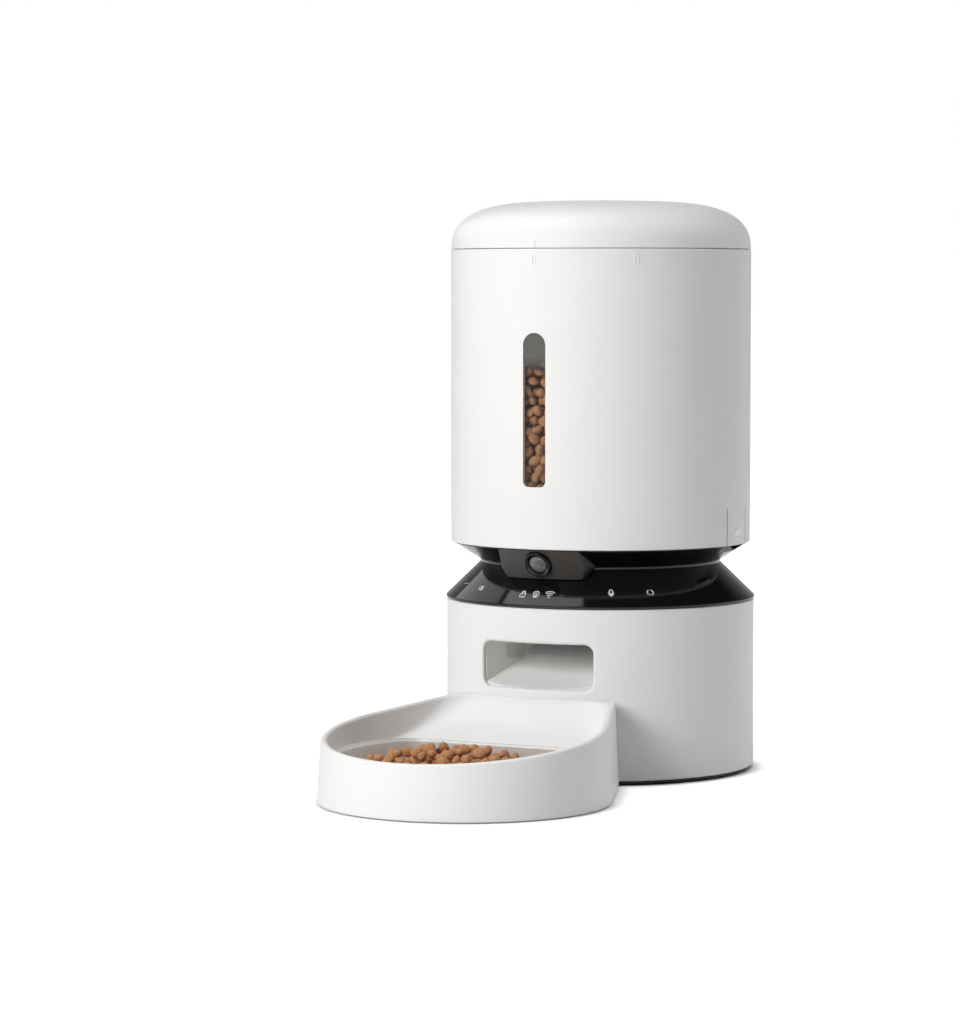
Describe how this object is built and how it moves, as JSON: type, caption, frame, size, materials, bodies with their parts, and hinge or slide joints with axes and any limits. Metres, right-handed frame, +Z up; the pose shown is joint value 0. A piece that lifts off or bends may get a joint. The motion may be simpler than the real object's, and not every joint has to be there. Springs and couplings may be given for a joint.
{
  "type": "automatic pet feeder",
  "caption": "Automatic pet feeder: round base with a food chute, black neck with a camera, lift-off food tank with a window and twist lid, and a front tray with a steel bowl.",
  "frame": {"origin": "centre of the bounding box, on the floor plane that the feet and the tray pads rest on", "axes": "+Z up; -Y to the front, where the tray and the bowl are; +X to the right side as seen by someone who faces +Y"},
  "size_m": [0.191, 0.3622, 0.3495],
  "materials": {
    "white_shell": "satin",
    "inner_white": "satin",
    "gloss_black": "gloss",
    "matt_black": "matt",
    "smoke_window": "gloss",
    "lens_glass": "gloss",
    "rubber": "matt",
    "silicone": "satin",
    "desiccant_bag": "matt",
    "gear_plastic": "satin",
    "green_board": "satin",
    "cell_jacket": "satin",
    "bowl_steel": "polished",
    "screw_steel": "satin",
    "motor_steel": "satin",
    "contact_metal": "satin"
  },
  "bodies": {
    "base": {"base_shell": "white_shell", "base_pan": "matt_black", "foot_1": "rubber", "foot_2": "rubber", "foot_3": "rubber", "foot_4": "rubber", "pan_screw_1": "screw_steel", "pan_screw_2": "screw_steel", "pan_screw_3": "screw_steel", "pan_screw_4": "screw_steel", "battery_cell_1": "cell_jacket", "battery_cell_2": "cell_jacket", "battery_cell_3": "cell_jacket", "battery_contacts_front": "contact_metal", "battery_contacts_rear": "contact_metal", "main_board": "green_board", "speaker": "matt_black", "power_jack": "matt_black", "chute": "inner_white", "sensor_window_left": "smoke_window", "sensor_window_right": "smoke_window", "control_ring": "gloss_black", "touch_board": "green_board", "neck_collar": "gloss_black", "camera_housing": "gloss_black", "camera_bezel": "matt_black", "camera_lens": "lens_glass", "camera_board": "green_board", "gear_case": "gear_plastic", "gear_cover": "gear_plastic", "motor": "motor_steel"},
    "battery_door": {"battery_door": "matt_black"},
    "pinion": {"motor_pinion": "contact_metal"},
    "cluster": {"cluster_gear": "gear_plastic"},
    "output": {"output_shaft": "gear_plastic", "drive_coupling": "matt_black"},
    "tank": {"tank_shell": "white_shell", "tank_window": "smoke_window", "hopper": "inner_white", "outlet_baffle": "inner_white"},
    "wheel": {"food_wheel": "inner_white", "stirrer": "screw_steel"},
    "tab_left": {"release_tab_left": "white_shell"},
    "tab_right": {"release_tab_right": "white_shell"},
    "lid_carrier": {"lid_seal": "silicone"},
    "lid": {"lid_cover": "white_shell", "lid_liner": "white_shell", "desiccant_pack": "desiccant_bag"},
    "desiccant_holder": {"desiccant_door": "white_shell"},
    "tray": {"tray": "white_shell", "tray_pad_1": "rubber", "tray_pad_2": "rubber", "tray_pad_3": "rubber", "tray_pad_4": "rubber"},
    "bowl": {"steel_bowl": "bowl_steel"}
  },
  "joints": [
    {"name": "tank_lift", "type": "slide", "parent": "base", "child": "tank", "axis": [0, 0, 1], "range_m": [0, 0.08]},
    {"name": "lid_lift", "type": "slide", "parent": "tank", "child": "lid_carrier", "axis": [0, 0, 1], "range_m": [0, 0.06]},
    {"name": "lid_turn", "type": "hinge", "parent": "lid_carrier", "child": "lid", "pos_m": [0, 0.0856, 0.3202], "axis": [0, 0, 1], "range_deg": [0, 38.7]},
    {"name": "desiccant_turn", "type": "hinge", "parent": "lid", "child": "desiccant_holder", "pos_m": [0, 0.0856, 0.309], "axis": [0, 0, 1], "range_deg": [0, 30]},
    {"name": "wheel_spin", "type": "hinge", "parent": "tank", "child": "wheel", "pos_m": [0, 0.0856, 0.131], "axis": [0, 0, 1], "continuous": true},
    {"name": "output_spin", "type": "hinge", "parent": "base", "child": "output", "pos_m": [0, 0.0856, 0.12], "axis": [0, 0, 1], "continuous": true},
    {"name": "cluster_spin", "type": "hinge", "parent": "base", "child": "cluster", "pos_m": [0, 0.10685, 0.11], "axis": [0, 0, 1], "continuous": true},
    {"name": "pinion_spin", "type": "hinge", "parent": "base", "child": "pinion", "pos_m": [0, 0.1256, 0.11], "axis": [0, 0, 1], "continuous": true},
    {"name": "tab_left_press", "type": "hinge", "parent": "tank", "child": "tab_left", "pos_m": [-0.0915, 0.0856, 0.163], "axis": [0, -1, 0], "range_deg": [0, 4], "stiffness_Nm_per_rad": 1.2, "springref_deg": -1.15},
    {"name": "tab_right_press", "type": "hinge", "parent": "tank", "child": "tab_right", "pos_m": [0.0915, 0.0856, 0.163], "axis": [0, 1, 0], "range_deg": [0, 4], "stiffness_Nm_per_rad": 1.2, "springref_deg": -1.15},
    {"name": "tray_pull", "type": "slide", "parent": "base", "child": "tray", "axis": [0, -1, 0], "range_m": [0, 0.06]},
    {"name": "bowl_lift", "type": "slide", "parent": "tray", "child": "bowl", "axis": [0, 0, 1], "range_m": [0, 0.06]},
    {"name": "battery_door_drop", "type": "slide", "parent": "base", "child": "battery_door", "axis": [0, 0, -1], "range_m": [0, 0.03]}
  ],
  "couplings": [
    {"joint": "output_spin", "follows": "wheel_spin", "ratio": 1},
    {"joint": "cluster_spin", "follows": "wheel_spin", "ratio": -3.25},
    {"joint": "pinion_spin", "follows": "wheel_spin", "ratio": 8.9375}
  ]
}
